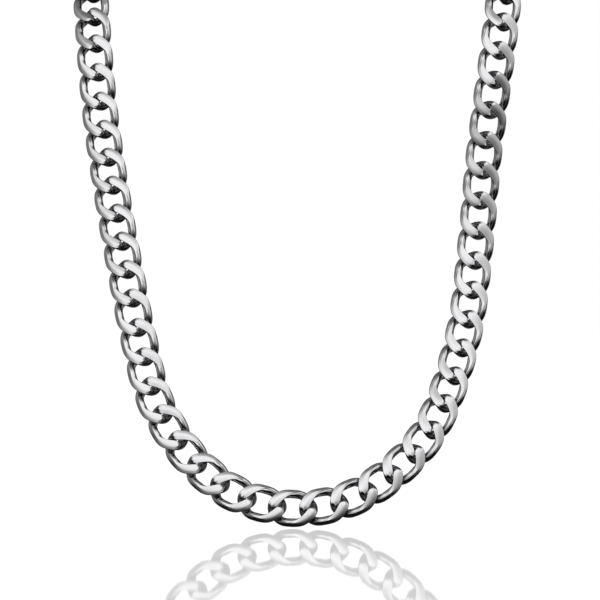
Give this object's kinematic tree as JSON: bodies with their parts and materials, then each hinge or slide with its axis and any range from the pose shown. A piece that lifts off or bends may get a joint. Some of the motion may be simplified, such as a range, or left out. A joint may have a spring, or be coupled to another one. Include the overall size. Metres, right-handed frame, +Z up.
{
  "type": "curb chain necklace",
  "caption": "Flat-filed curb chain of heavy wire links, hanging in a deep U as worn and closed by a plain clasp at the nape.",
  "frame": {"origin": "under the middle of the clasp, where the chain bears on the back of the neck", "axes": "+Z up, the front of the U faces -Y, +X to the right of a viewer in front"},
  "size_m": [0.1318, 0.1309, 0.1912],
  "materials": {
    "link_steel": "bright polished wire with flat facets in a fine satin",
    "clasp_steel": "fine satin with polished rims"
  },
  "bodies": {
    "root": {"chain_left": "link_steel", "chain_right": "link_steel", "clasp": "clasp_steel"}
  },
  "joints": []
}
